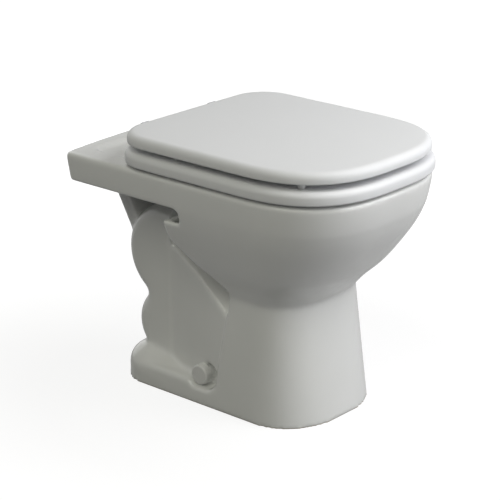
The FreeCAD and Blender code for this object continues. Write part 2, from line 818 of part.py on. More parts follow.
def make_seat_buffer(x, y):
    """Oblong pad under the seat ring, just clear of the rim."""
    low = rim_height + contact_gap
    half = seat_buffer_length / 2
    pad = block(x - seat_buffer_radius, x + seat_buffer_radius, y - half, y + half, low, seat_z)
    pad = pad.makeFillet(seat_buffer_radius - tolerance, upright_edges(pad))
    return pad.makeFillet(seat_buffer_dome, level_edges(pad, low))


def on_hinge(shape):
    """Move a piece drawn about the plane X = 0 to the right hinge."""
    return shape.translated(Vector(hinge_x, 0, 0))


def hinge_cylinder(radius, x_low, x_high):
    return crosswise_cylinder(radius, x_low, x_high, hinge_axis_y, hinge_axis_z)


def stud_cylinder(radius, z_low, z_high):
    return upright_cylinder(radius, 0, hinge_axis_y, z_low, z_high)


def make_pillar():
    """Round base, a column that narrows upwards and a round head that holds the pin."""
    half = pillar_head_width / 2
    base_z = recess_z + base_washer_thickness
    column_z = base_z + pillar_base_height
    foot_half = pillar_foot_depth / 2
    foot = rounded_rectangle(pillar_foot_width, hinge_axis_y - foot_half, hinge_axis_y + foot_half,
                             pillar_corner_radius, column_z)
    neck_z = hinge_axis_z - pillar_head_radius
    neck = rounded_rectangle(pillar_head_width, hinge_axis_y - pillar_head_radius,
                             hinge_axis_y + pillar_head_radius, pillar_corner_radius, neck_z)
    column = Part.makeLoft([foot, neck], True, True)
    shoulder = Part.Face(neck).extrude(Vector(0, 0, pillar_head_radius))
    pillar = stud_cylinder(pillar_base_radius, base_z, column_z)
    pillar = pillar.fuse([column, shoulder, hinge_cylinder(pillar_head_radius, -half, half)]).removeSplitter()
    pin_hole = hinge_cylinder(pin_radius + pivot_clearance, -half, half)
    stud_hole = stud_cylinder(stud_radius + fit_clearance, base_z, base_z + stud_depth_in_pillar)
    return on_hinge(pillar.cut([pin_hole, stud_hole]))


def make_pin():
    half = pillar_head_width / 2 + knuckle_gap + knuckle_length + pin_overhang
    return on_hinge(hinge_cylinder(pin_radius, -half, half))


def make_leaf_plate(leaf_x, rear_y, z_low):
    front_y = hinge_axis_y - leaf_reach
    plate = block(*leaf_x, front_y, rear_y, z_low, z_low + leaf_thickness)
    fronts = [edge for edge in upright_edges(plate) if edge.BoundBox.YMax < front_y + tolerance]
    return plate.makeFillet(leaf_corner_radius, fronts)


def finish_leaf(leaf, leaf_x):
    """Add the knuckle, then the pin hole and the screw holes."""
    x = sum(leaf_x) / 2
    radius = leaf_screw_radius + fit_clearance
    cuts = [upright_cylinder(radius, x, y, seat_top_z, lid_z) for y in leaf_screw_places()]
    cuts.append(hinge_cylinder(pin_radius + pivot_clearance, *leaf_x))
    leaf = leaf.fuse(hinge_cylinder(knuckle_radius, *leaf_x))
    return on_hinge(leaf.cut(cuts))


def make_lid_leaf():
    leaf_x = lid_leaf_x()
    return finish_leaf(make_leaf_plate(leaf_x, hinge_axis_y, lid_z - leaf_thickness), leaf_x)


def make_seat_leaf():
    """Plate on top of the seat ring with an arm that rises to the knuckle behind it."""
    leaf_x = seat_leaf_x()
    bend_y = seat_rear_y - seat_edge_radius
    arm = side_prism(polygon_edges([
        side_point(bend_y, seat_top_z),
        side_point(hinge_axis_y, hinge_axis_z - knuckle_radius),
        side_point(hinge_axis_y - knuckle_radius, hinge_axis_z),
        side_point(bend_y, seat_top_z + leaf_thickness),
    ]), knuckle_length)
    arm.translate(Vector(sum(leaf_x) / 2, 0, 0))
    return finish_leaf(make_leaf_plate(leaf_x, bend_y, seat_top_z).fuse(arm), leaf_x)


def make_leaf_screws(leaf_x, z, up):
    """Two round-headed screws with the heads seated at z; up is 1 or -1, the way the shanks point."""
    screws = []
    for y in leaf_screw_places():
        seat = Vector(hinge_x + sum(leaf_x) / 2, y, z)
        shank = Part.makeCylinder(leaf_screw_radius, leaf_screw_length, seat, Vector(0, 0, up))
        head = Part.makeCylinder(leaf_screw_head_radius, leaf_screw_head_height, seat, Vector(0, 0, -up))
        head = head.makeFillet(leaf_screw_head_height / 2, level_edges(head, z - up * leaf_screw_head_height))
        screws.append(shank.fuse(head))
    return Part.makeCompound(screws)


def stud_ring(radius, z_low, z_high):
    """Ring round the stud."""
    ring = stud_cylinder(radius, z_low, z_high)
    return ring.cut(stud_cylinder(stud_radius + fit_clearance, z_low, z_high))


def make_base_washer():
    return on_hinge(stud_ring(base_washer_radius, recess_z, recess_z + base_washer_thickness))


def make_stud():
    top = recess_z + base_washer_thickness + stud_depth_in_pillar
    return on_hinge(stud_cylinder(stud_radius, nut_z - stud_tail, top))


def make_cone_washer():
    """Rubber washer under the shelf with a nose that centres the stud in the hole."""
    flange = stud_ring(cone_flange_radius, nut_washer_z + nut_washer_thickness, shelf_under_z)
    nose_radius = hinge_hole_radius - fit_clearance
    nose = Part.makeCone(nose_radius, nose_radius - cone_nose_taper, cone_nose_length,
                         Vector(0, hinge_axis_y, shelf_under_z))
    nose = nose.cut(stud_cylinder(stud_radius + fit_clearance, shelf_under_z, recess_z))
    return on_hinge(flange.fuse(nose))


def make_nut_washer():
    return on_hinge(stud_ring(nut_washer_radius, nut_washer_z, nut_washer_z + nut_washer_thickness))


def make_wing_nut():
    half = nut_wing_span / 2
    wings = block(-half, half, hinge_axis_y - nut_wing_thickness / 2, hinge_axis_y + nut_wing_thickness / 2,
                  nut_z - nut_wing_drop, nut_z + nut_height / 2)
    tips = [edge for edge in wings.Edges if edge.BoundBox.YLength > nut_wing_thickness - tolerance]
    wings = wings.makeFillet(nut_wing_drop, tips)
    nut = stud_cylinder(nut_hub_radius, nut_z, nut_z + nut_height).fuse(wings)
    hole = stud_cylinder(stud_radius + fit_clearance, nut_z - nut_wing_drop, nut_z + nut_height)
    return on_hinge(nut.cut(hole))


def fixing_cylinder(radius, x_low, x_high):
    return crosswise_cylinder(radius, x_low, x_high, fixing_y, fixing_height)


def make_fixing_cap():
    outer_x = fixing_seat_x + cap_height
    cap = fixing_cylinder(cap_radius, fixing_seat_x, outer_x)
    face = [edge for edge in cap.Edges if edge.BoundBox.XMin > outer_x - tolerance]
    cap = cap.makeFillet(cap_edge_radius, face)
    return cap.cut(fixing_cylinder(cap_radius - cap_wall, fixing_seat_x, outer_x - cap_wall))


def make_fixing_sleeve():
    sleeve = fixing_cylinder(fixing_hole_radius - fit_clearance, bracket_x, fixing_seat_x)
    flange = fixing_cylinder(sleeve_flange_radius, fixing_seat_x, fixing_washer_x)
    hole = fixing_cylinder(fixing_screw_radius + fit_clearance, bracket_x, fixing_washer_x)
    return sleeve.fuse(flange).cut(hole)


def make_fixing_washer():
    washer = fixing_cylinder(fixing_washer_radius, fixing_washer_x, fixing_head_x)
    return washer.cut(fixing_cylinder(fixing_screw_radius + fit_clearance, fixing_washer_x, fixing_head_x))


def make_fixing_screw():
    end_x = fixing_head_x + fixing_head_height
    head = fixing_cylinder(fixing_head_radius, fixing_head_x, end_x)
    face = [edge for edge in head.Edges if edge.BoundBox.XMin > end_x - tolerance]
    head = head.makeFillet(fixing_head_height / 2, face)
    tail_x = bracket_x - bracket_thickness - fixing_screw_tail
    return head.fuse(fixing_cylinder(fixing_screw_radius, tail_x, fixing_head_x))


def make_bracket():
    """Angle inside the web: the screw draws the pan to its upstand, and its foot is fixed to the floor."""
    low_y = fixing_y - bracket_width / 2
    high_y = fixing_y + bracket_width / 2
    foot_x = bracket_x - bracket_reach
    upstand = block(bracket_x - bracket_thickness, bracket_x, low_y, high_y, 0, bracket_height)
    foot = block(foot_x, bracket_x, low_y, high_y, 0, bracket_thickness)
    screw_hole = fixing_cylinder(fixing_screw_radius + pivot_clearance, foot_x, bracket_x)
    floor_hole = upright_cylinder(bracket_hole_radius, bracket_x - bracket_hole_setback, fixing_y,
                                  0, bracket_thickness)
    return upstand.fuse(foot).removeSplitter().cut([screw_hole, floor_hole])


def make_outlet_seal():
    ring = upright_cylinder(seal_outer_radius - fit_clearance, 0, outlet_y, 0, seal_depth)
    return ring.cut(upright_cylinder(outlet_bore_radius + seal_bore_step, 0, outlet_y, 0, seal_depth))


def make_inlet_seal():
    low_y = y_back - inlet_seal_length
    ring = lengthwise_cylinder(inlet_bore_radius - fit_clearance, low_y, y_back, inlet_height)
    return ring.cut(lengthwise_cylinder(flush_pipe_radius, low_y, y_back, inlet_height))


def write(node, shape):
    shape.exportStep("parts/" + node + ".step")


def write_pair(node, shape):
    """A piece of the right-hand side, +X, and its mirror image."""
    for side, piece in zip(("right", "left"), both_sides(shape)):
        write(node + "_" + side, piece)


os.makedirs("parts", exist_ok=True)
write("pan", make_pan())
write("seat_ring", make_seat())
write("lid", make_lid())
lid_buffer_ys = (seat_rear_y - lid_buffer_rear_gap, y_front + lid_buffer_front_gap)
seat_buffer_ys = (seat_rear_y - seat_buffer_rear_gap, y_front + seat_buffer_front_gap)
for place, gap, y in zip(("rear", "front"), lid_buffer_side_gaps, lid_buffer_ys):
    write_pair("lid_buffer_" + place, make_lid_buffer(seat_width / 2 - gap, y))
for place, gap, y in zip(("rear", "front"), seat_buffer_side_gaps, seat_buffer_ys):
    write_pair("seat_buffer_" + place, make_seat_buffer(seat_width / 2 - gap, y))
write_pair("hinge_pillar", make_pillar())
write_pair("hinge_pin", make_pin())
write_pair("lid_leaf", make_lid_leaf())
write_pair("seat_leaf", make_seat_leaf())
write_pair("lid_leaf_screws", make_leaf_screws(lid_leaf_x(), lid_z - leaf_thickness, 1))
write_pair("seat_leaf_screws", make_leaf_screws(seat_leaf_x(), seat_top_z + leaf_thickness, -1))
write_pair("hinge_base_washer", make_base_washer())
write_pair("hinge_stud", make_stud())
write_pair("hinge_cone_washer", make_cone_washer())
write_pair("hinge_nut_washer", make_nut_washer())
write_pair("hinge_wing_nut", make_wing_nut())
write_pair("fixing_cap", make_fixing_cap())
write_pair("fixing_sleeve", make_fixing_sleeve())
write_pair("fixing_washer", make_fixing_washer())
write_pair("fixing_screw", make_fixing_screw())
write_pair("floor_bracket", make_bracket())
write("outlet_seal", make_outlet_seal())
write("inlet_seal", make_inlet_seal())
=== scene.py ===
import bpy
import math
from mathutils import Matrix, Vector


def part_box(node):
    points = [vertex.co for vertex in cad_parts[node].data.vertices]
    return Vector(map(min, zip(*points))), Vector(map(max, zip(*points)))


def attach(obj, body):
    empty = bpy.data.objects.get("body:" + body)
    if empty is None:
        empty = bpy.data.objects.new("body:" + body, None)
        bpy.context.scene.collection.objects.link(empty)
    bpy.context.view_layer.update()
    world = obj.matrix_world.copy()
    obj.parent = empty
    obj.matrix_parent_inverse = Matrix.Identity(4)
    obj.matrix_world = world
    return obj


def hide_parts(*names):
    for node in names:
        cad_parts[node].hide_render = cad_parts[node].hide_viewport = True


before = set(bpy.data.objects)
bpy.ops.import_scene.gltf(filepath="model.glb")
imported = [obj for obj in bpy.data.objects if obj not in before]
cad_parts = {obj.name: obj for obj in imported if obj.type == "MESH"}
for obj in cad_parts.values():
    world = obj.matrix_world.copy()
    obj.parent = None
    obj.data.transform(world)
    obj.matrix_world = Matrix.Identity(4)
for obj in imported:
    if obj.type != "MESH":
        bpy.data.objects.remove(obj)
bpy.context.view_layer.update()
print("frame loaded,", len(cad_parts), "nodes")


# small helpers for working as in the viewport

near = 1e-5  # metres, within which points share a place or a level


def pickOnly(obj):
    bpy.ops.object.select_all(action="DESELECT")
    obj.select_set(True)
    bpy.context.view_layer.objects.active = obj


def startEdit(obj, kind):
    pickOnly(obj)
    bpy.ops.object.mode_set(mode="EDIT")
    bpy.ops.mesh.select_mode(type=kind)
    bpy.ops.mesh.select_all(action="DESELECT")
    bpy.ops.object.mode_set(mode="OBJECT")


def selectEdges(obj, test):
    startEdit(obj, "EDGE")
    points = obj.data.vertices
    for edge in obj.data.edges:
        edge.select = test(points[edge.vertices[0]].co, points[edge.vertices[1]].co)
    bpy.ops.object.mode_set(mode="EDIT")


def selectFaces(obj, test):
    startEdit(obj, "FACE")
    for face in obj.data.polygons:
        face.select = test(face.center, face.normal)
    bpy.ops.object.mode_set(mode="EDIT")


def selectPoints(obj, test):
    startEdit(obj, "VERT")
    for point in obj.data.vertices:
        point.select = test(point.co)
    bpy.ops.object.mode_set(mode="EDIT")


def selectAll(obj, kind):
    startEdit(obj, kind)
    bpy.ops.object.mode_set(mode="EDIT")
    bpy.ops.mesh.select_all(action="SELECT")


def leaveEdit():
    bpy.ops.object.mode_set(mode="OBJECT")


def bevelEdges(obj, test, width, steps, profile=0.5):
    selectEdges(obj, test)
    bpy.ops.mesh.bevel(offset=width, segments=steps, profile=profile, affect="EDGES", clamp_overlap=False)
    leaveEdit()


def applyModifiers(obj):
    pickOnly(obj)
    for modifier in list(obj.modifiers):
        bpy.ops.object.modifier_apply(modifier=modifier.name)


def smoothShade(obj, degrees):
    pickOnly(obj)
    bpy.ops.object.shade_smooth_by_angle(angle=math.radians(degrees))


def addBlock(name, low, high):
    size = [b - a for a, b in zip(low, high)]
    middle = [(a + b) / 2 for a, b in zip(low, high)]
    bpy.ops.mesh.primitive_cube_add(size=1, location=middle, scale=size)
    block = bpy.context.object
    block.name = name
    bpy.ops.object.transform_apply(location=True, rotation=True, scale=True)
    return block


def copyNode(name, node):
    # a fresh object with a merged copy of the CAD node's mesh
    piece = bpy.data.objects.new(name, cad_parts[node].data.copy())
    bpy.context.scene.collection.objects.link(piece)
    selectAll(piece, "VERT")
    bpy.ops.mesh.remove_doubles(threshold=near)
    leaveEdit()
    if piece.data.has_custom_normals:
        bpy.ops.mesh.customdata_custom_splitnormals_clear()
    return piece


def finishPiece(piece, body, slotName, finish, *nodes):
    piece.data.materials.clear()
    piece.data.materials.append(finish)
    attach(piece, body)
    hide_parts(*nodes)


# finishes

def newFinish(name):
    finish = bpy.data.materials.new(name)
    finish.use_nodes = True
    nodes = finish.node_tree.nodes
    return finish, nodes, finish.node_tree.links, nodes["Principled BSDF"]


def addNoise(nodes, links, scale, detail=2.0, roughness=0.5, stretch=(1, 1, 1)):
    where = nodes.new("ShaderNodeTexCoord")
    mapping = nodes.new("ShaderNodeMapping")
    mapping.inputs["Scale"].default_value = stretch
    noise = nodes.new("ShaderNodeTexNoise")
    noise.inputs["Scale"].default_value = scale
    noise.inputs["Detail"].default_value = detail
    noise.inputs["Roughness"].default_value = roughness
    links.new(where.outputs["Object"], mapping.inputs["Vector"])
    links.new(mapping.outputs["Vector"], noise.inputs["Vector"])
    return noise.outputs["Fac"]


def addRamp(nodes, links, source, stops, low, high):
    ramp = nodes.new("ShaderNodeValToRGB")
    for element, stop, colour in zip(ramp.color_ramp.elements, stops, (low, high)):
        element.position = stop
        element.color = colour
    links.new(source, ramp.inputs["Fac"])
    return ramp.outputs["Color"]


def addRange(nodes, links, source, low, high, fromLow=0.3, fromHigh=0.7):
    spread = nodes.new("ShaderNodeMapRange")
    spread.inputs["From Min"].default_value = fromLow
    spread.inputs["From Max"].default_value = fromHigh
    spread.inputs["To Min"].default_value = low
    spread.inputs["To Max"].default_value = high
    links.new(source, spread.inputs["Value"])
    return spread.outputs["Result"]


def addBump(nodes, links, shader, source, strength, distance):
    bump = nodes.new("ShaderNodeBump")
    bump.inputs["Strength"].default_value = strength
    bump.inputs["Distance"].default_value = distance
    links.new(source, bump.inputs["Height"])
    links.new(bump.outputs["Normal"], shader.inputs["Normal"])


def opaque(red, green, blue):
    return (red, green, blue, 1)


china = {
    "thin": opaque(0.800, 0.805, 0.790),
    "full": opaque(0.835, 0.838, 0.828),
    "cloudScale": 5.0,  # slow drift from thin to full glaze
    "cloudDetail": 3.0,
    "cloudStops": (0.32, 0.66),
    "biscuit": opaque(0.62, 0.56, 0.48),  # unglazed foot
    "biscuitHeight": 0.0022,
    "biscuitBare": 0.6,  # share of that height with no glaze at all
    "biscuitRough": 0.85,
    "rough": (0.20, 0.27),
    "roughScale": 120.0,
    "rippleScale": 34.0,
    "rippleDetail": 1.0,
    "rippleStrength": 0.04,
    "rippleDepth": 0.002,
    "ior": 1.5,
    "coat": 0.35,
    "coatRough": 0.12,
}


def makeChina():
    finish, nodes, links, shader = newFinish("glazedChina")
    cloud = addNoise(nodes, links, china["cloudScale"], china["cloudDetail"])
    glaze = addRamp(nodes, links, cloud, china["cloudStops"], china["thin"], china["full"])
    where = nodes.new("ShaderNodeTexCoord")
    split = nodes.new("ShaderNodeSeparateXYZ")
    links.new(where.outputs["Object"], split.inputs["Vector"])
    top = china["biscuitHeight"]
    foot = addRange(nodes, links, split.outputs["Z"], 1, 0, top * china["biscuitBare"], top)
    mix = nodes.new("ShaderNodeMix")
    mix.data_type = "RGBA"
    links.new(foot, mix.inputs["Factor"])
    links.new(glaze, mix.inputs["A"])
    mix.inputs["B"].default_value = china["biscuit"]
    links.new(mix.outputs["Result"], shader.inputs["Base Color"])
    fine = addNoise(nodes, links, china["roughScale"])
    gloss = addRange(nodes, links, fine, *china["rough"])
    dull = nodes.new("ShaderNodeMix")
    links.new(foot, dull.inputs["Factor"])
    links.new(gloss, dull.inputs["A"])
    dull.inputs["B"].default_value = china["biscuitRough"]
    links.new(dull.outputs["Result"], shader.inputs["Roughness"])
    ripple = addNoise(nodes, links, china["rippleScale"], china["rippleDetail"])
    addBump(nodes, links, shader, ripple, china["rippleStrength"], china["rippleDepth"])
    shader.inputs["IOR"].default_value = china["ior"]
    shader.inputs["Coat Weight"].default_value = china["coat"]
    shader.inputs["Coat Roughness"].default_value = china["coatRough"]
    return finish


lacquer = {
    "low": opaque(0.842, 0.847, 0.862),
    "high": opaque(0.850, 0.855, 0.870),
    "cloudScale": 7.0,
    "cloudDetail": 3.0,
    "cloudStops": (0.2, 0.8),
    "rough": (0.46, 0.47),
    "roughScale": 9.0,
    "peelScale": 160.0,  # faint orange peel of the sprayed coat
    "peelDetail": 1.0,
    "peelStrength": 0.0015,
    "peelDepth": 0.0006,
    "specular": 0.28,
}


def makeLacquer():
    finish, nodes, links, shader = newFinish("whiteLacquer")
    cloud = addNoise(nodes, links, lacquer["cloudScale"], lacquer["cloudDetail"])
    tint = addRamp(nodes, links, cloud, lacquer["cloudStops"], lacquer["low"], lacquer["high"])
    links.new(tint, shader.inputs["Base Color"])
    sheen = addNoise(nodes, links, lacquer["roughScale"])
    links.new(addRange(nodes, links, sheen, *lacquer["rough"]), shader.inputs["Roughness"])
    peel = addNoise(nodes, links, lacquer["peelScale"], lacquer["peelDetail"])
    addBump(nodes, links, shader, peel, lacquer["peelStrength"], lacquer["peelDepth"])
    shader.inputs["Specular IOR Level"].default_value = lacquer["specular"]
    return finish


metal = {
    "stops": (0.3, 0.7),
    "grainDetail": 4.0,
    "grainRoughness": 0.6,
    "bumpStrength": 0.04,
    "bumpDepth": 0.0003,
}
chrome = {
    "low": opaque(0.74, 0.75, 0.77),
    "high": opaque(0.82, 0.83, 0.84),
    "rough": (0.08, 0.14),
    "grainScale": 30.0,
    "stretch": (1, 1, 1),
}
steel = {
    "low": opaque(0.50, 0.51, 0.52),
    "high": opaque(0.66, 0.66, 0.66),
    "rough": (0.30, 0.42),
    "grainScale": 9.0,
    "stretch": (4, 120, 120),  # drawn along x
}


def makeMetal(name, look):
    finish, nodes, links, shader = newFinish(name)
    grain = addNoise(nodes, links, look["grainScale"], metal["grainDetail"],
                     metal["grainRoughness"], look["stretch"])
    tint = addRamp(nodes, links, grain, metal["stops"], look["low"], look["high"])
    links.new(tint, shader.inputs["Base Color"])
    links.new(addRange(nodes, links, grain, *look["rough"]), shader.inputs["Roughness"])
    addBump(nodes, links, shader, grain, metal["bumpStrength"], metal["bumpDepth"])
    shader.inputs["Metallic"].default_value = 1.0
    return finish


soft = {
    "stops": (0.3, 0.7),
    "mottleDetail": 3.0,
    "bumpTimes": 6,  # how much finer the bump is than the mottling
    "bumpDepth": 0.0004,
}
pad = {
    "low": opaque(0.66, 0.67, 0.67),
    "high": opaque(0.74, 0.75, 0.75),
    "rough": (0.45, 0.6),
    "mottleScale": 90.0,
    "bumpStrength": 0.06,
}
rubber = {
    "low": opaque(0.018, 0.018, 0.019),
    "high": opaque(0.035, 0.035, 0.036),
    "rough": (0.6, 0.75),
    "mottleScale": 70.0,
    "bumpStrength": 0.12,
}
fitting = {
    "low": opaque(0.70, 0.70, 0.68),
    "high": opaque(0.76, 0.76, 0.74),
    "rough": (0.4, 0.5),
    "mottleScale": 50.0,
    "bumpStrength": 0.08,
}
cap = {
    "low": opaque(0.80, 0.80, 0.79),
    "high": opaque(0.83, 0.83, 0.82),
    "rough": (0.22, 0.30),
    "mottleScale": 40.0,
    "bumpStrength": 0.03,
}


def makeSoft(name, look):
    # rubber and moulded plastic: fine mottling and a finer bump
    finish, nodes, links, shader = newFinish(name)
    mottle = addNoise(nodes, links, look["mottleScale"], soft["mottleDetail"])
    tint = addRamp(nodes, links, mottle, soft["stops"], look["low"], look["high"])
    links.new(tint, shader.inputs["Base Color"])
    links.new(addRange(nodes, links, mottle, *look["rough"]), shader.inputs["Roughness"])
    fine = addNoise(nodes, links, look["mottleScale"] * soft["bumpTimes"])
    addBump(nodes, links, shader, fine, look["bumpStrength"], soft["bumpDepth"])
    return finish


chinaFinish = makeChina()
lacquerFinish = makeLacquer()
chromeFinish = makeMetal("polishedChrome", chrome)
steelFinish = makeMetal("zincSteel", steel)
padFinish = makeSoft("palePad", pad)
sealFinish = makeSoft("blackRubber", rubber)
fittingFinish = makeSoft("mouldedFitting", fitting)
capFinish = makeSoft("glossCap", cap)
print("finishes made")


# the pan: a cast form, so all its edges but the foot's are softened

pan = {
    "voxel": 0.0030,
    "softSteps": 13,
    "softFactor": 0.5,
    "footCrisp": (0.003, 0.010),  # no softening below, full softening above
    "mostTriangles": 190000,
}


def makePan():
    piece = copyNode("panGlazed", "pan")
    remesh = piece.modifiers.new("cast", "REMESH")
    remesh.mode = "VOXEL"
    remesh.voxel_size = pan["voxel"]
    applyModifiers(piece)
    group = piece.vertex_groups.new(name="soft")
    low, high = pan["footCrisp"]
    for point in piece.data.vertices:
        share = min(max((point.co.z - low) / (high - low), 0), 1)
        group.add([point.index], share, "REPLACE")
    soften = piece.modifiers.new("soften", "SMOOTH")
    soften.factor = pan["softFactor"]
    soften.iterations = pan["softSteps"]
    soften.vertex_group = "soft"
    applyModifiers(piece)
    triangles = sum(len(face.vertices) - 2 for face in piece.data.polygons)
    print("pan cast with", triangles, "triangles")
    if triangles > pan["mostTriangles"]:
        thin = piece.modifiers.new("thin", "DECIMATE")
        thin.ratio = pan["mostTriangles"] / triangles
        applyModifiers(piece)
    pickOnly(piece)
    bpy.ops.object.shade_smooth()
    finishPiece(piece, "pan", "vitreous_china", chinaFinish, "pan")


makePan()
print("pan softened")


# seat ring and lid: boards with a long rounded front and round rear corners

board = {
    "frontRun": 0.171,
    "frontProfile": 0.602,
    "frontSteps": 24,
    "rearSteps": 16,
    "endBand": 0.001,  # how near an end an edge counts as its corner
    "flat": 0.999,  # least upright share of a flat face's normal
    "smoothAngle": 40,
}


def makeBoard(name, low, high, rearRadius):
    slab = addBlock(name, low, high)
    tall = (high.z - low.z) / 2
    front, rear = low.y + board["endBand"], high.y - board["endBand"]

    def upright(a, b):
        return abs(a.z - b.z) > tall

    bevelEdges(slab, lambda a, b: upright(a, b) and a.y < front,
               board["frontRun"], board["frontSteps"], board["frontProfile"])
    bevelEdges(slab, lambda a, b: upright(a, b) and a.y > rear, rearRadius, board["rearSteps"])
    return slab


def atLevel(z):
    return lambda a, b: abs(a.z - z) < near and abs(b.z - z) < near


lid = {
    "rearRadius": 0.064,
    "topRound": 0.0115,
    "topSteps": 7,
    "lowRound": 0.0025,
    "lowSteps": 5,
    "crown": ((0.003, 0.0), (0.009, 0.0002), (0.016, 0.0002)),  # inset, rise
    "underInset": 0.004,
}


def makeLid():
    low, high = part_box("lid")
    crownRise = sum(rise for inset, rise in lid["crown"])
    high.z -= crownRise
    piece = makeBoard("lidBoard", low, high, lid["rearRadius"])
    bevelEdges(piece, atLevel(high.z), lid["topRound"], lid["topSteps"])
    bevelEdges(piece, atLevel(low.z), lid["lowRound"], lid["lowSteps"])
    selectFaces(piece, lambda centre, normal: normal.z > board["flat"] and centre.z > high.z - near)
    for inset, rise in lid["crown"]:
        bpy.ops.mesh.inset(thickness=inset)
        bpy.ops.transform.translate(value=(0, 0, rise))
    leaveEdit()
    selectFaces(piece, lambda centre, normal: normal.z < -board["flat"] and centre.z < low.z + near)
    bpy.ops.mesh.inset(thickness=lid["underInset"])
    leaveEdit()
    smoothShade(piece, board["smoothAngle"])
    finishPiece(piece, "lid", "lacquered_board", lacquerFinish, "lid")


seat = {
    "rearRadius": 0.068,
    "topRound": 0.009,
    "topSteps": 7,
    "lowRound": 0.003,
    "lowSteps": 4,
    "innerRound": 0.007,
    "innerSteps": 6,
    "holeHalf": 0.111,
    "holeTurnY": -0.075,
    "holeFrontRun": 0.130,
    "holeRearRun": 0.154,
    "holeProfile": 0.561,
    "holeOver": 0.010,
    "holeBevel": 0.9995,  # share of the half width, just short of meeting
    "holeEnd": 0.99,  # share of the half width past which an edge is a corner
    "holeTurnGap": 1e-4,
    "holeMargin": 0.001,
}


def makeHole(low, high):
    # the egg-shaped opening as a prism through the board
    half, turn, over = seat["holeHalf"], seat["holeTurnY"], seat["holeOver"]
    hole = addBlock("hole", (-half, turn - half, low.z - over), (half, turn + half, high.z + over))
    for side, run, steps in ((-1, seat["holeFrontRun"], board["frontSteps"]),
                             (1, seat["holeRearRun"], board["rearSteps"])):
        bevelEdges(hole, lambda a, b: abs(a.z - b.z) > over and (a.y - turn) * side > half * seat["holeEnd"],
                   half * seat["holeBevel"], steps, seat["holeProfile"])
        selectPoints(hole, lambda co: (co.y - turn) * side > seat["holeTurnGap"])
        bpy.ops.transform.resize(value=(1, run / half, 1), center_override=(0, turn, 0))
        leaveEdit()
    return hole


def inHole(co):
    margin = seat["holeMargin"]
    front = seat["holeTurnY"] - seat["holeFrontRun"] - margin
    rear = seat["holeTurnY"] + seat["holeRearRun"] + margin
    return abs(co.x) < seat["holeHalf"] + margin and front < co.y < rear


def makeSeat():
    low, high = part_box("seat_ring")
    piece = makeBoard("seatBoard", low, high, seat["rearRadius"])
    bevelEdges(piece, atLevel(high.z), seat["topRound"], seat["topSteps"])
    bevelEdges(piece, atLevel(low.z), seat["lowRound"], seat["lowSteps"])
    hole = makeHole(low, high)
    cut = piece.modifiers.new("opening", "BOOLEAN")
    cut.operation = "DIFFERENCE"
    cut.solver = "EXACT"
    cut.object = hole
    applyModifiers(piece)
    pickOnly(hole)
    bpy.ops.object.delete()
    for z in (low.z, high.z):
        bevelEdges(piece, lambda a, b: atLevel(z)(a, b) and inHole(a) and inHole(b),
                   seat["innerRound"], seat["innerSteps"])
    smoothShade(piece, board["smoothAngle"])
    finishPiece(piece, "seat", "lacquered_board", lacquerFinish, "seat_ring")


makeLid()
makeSeat()
print("seat and lid made")


# pads under the lid and the seat ring

lidPad = {
    "around": 40,
    "round": 0.0034,
    "roundSteps": 6,
    "collar": 0.0012,
    "collarDepth": 0.0025,
    "flat": 0.9,
    "smoothAngle": 45,
}


def makeLidPad(node):
    low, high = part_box(node)
    radius = (high.x - low.x) / 2
    neck = radius - lidPad["collar"]
    middle = (low + high) / 2
    bpy.ops.mesh.primitive_cylinder_add(vertices=lidPad["around"], radius=neck,
                                        depth=high.z - low.z, location=middle)
    piece = bpy.context.object
    piece.name = node + "_pad"
    bpy.ops.object.transform_apply(location=True, rotation=True, scale=True)
    bevelEdges(piece, atLevel(low.z), lidPad["round"], lidPad["roundSteps"])
    selectFaces(piece, lambda centre, normal: normal.z > lidPad["flat"] and centre.z > high.z - near)
    bpy.ops.transform.translate(value=(0, 0, -lidPad["collarDepth"]))
    bpy.ops.mesh.extrude_region_move()
    bpy.ops.transform.resize(value=(radius / neck, radius / neck, 1), center_override=middle)
    bpy.ops.mesh.extrude_region_move(TRANSFORM_OT_translate={"value": (0, 0, lidPad["collarDepth"])})
    leaveEdit()
    smoothShade(piece, lidPad["smoothAngle"])
    finishPiece(piece, "lid", "buffer_rubber", padFinish, node)


seatPad = {
    "cornerShare": 0.999,  # of the half width, so the ends are half round
    "cornerSteps": 8,
    "uprightLeast": 0.001,
    "round": 0.0018,
    "roundSteps": 4,
    "smoothAngle": 45,
}


def makeSeatPad(node):
    low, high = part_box(node)
    piece = addBlock(node + "_pad", low, high)
    radius = (high.x - low.x) / 2
    bevelEdges(piece, lambda a, b: abs(a.z - b.z) > seatPad["uprightLeast"],
               radius * seatPad["cornerShare"], seatPad["cornerSteps"])
    bevelEdges(piece, atLevel(low.z), seatPad["round"], seatPad["roundSteps"])
    smoothShade(piece, seatPad["smoothAngle"])
    finishPiece(piece, "seat", "buffer_rubber", padFinish, node)


for place in ("rear", "front"):
    for side in ("right", "left"):
        makeLidPad("lid_buffer_" + place + "_" + side)
        makeSeatPad("seat_buffer_" + place + "_" + side)
print("pads made")


# hinges, fixings and seals: the CAD forms with their edges eased

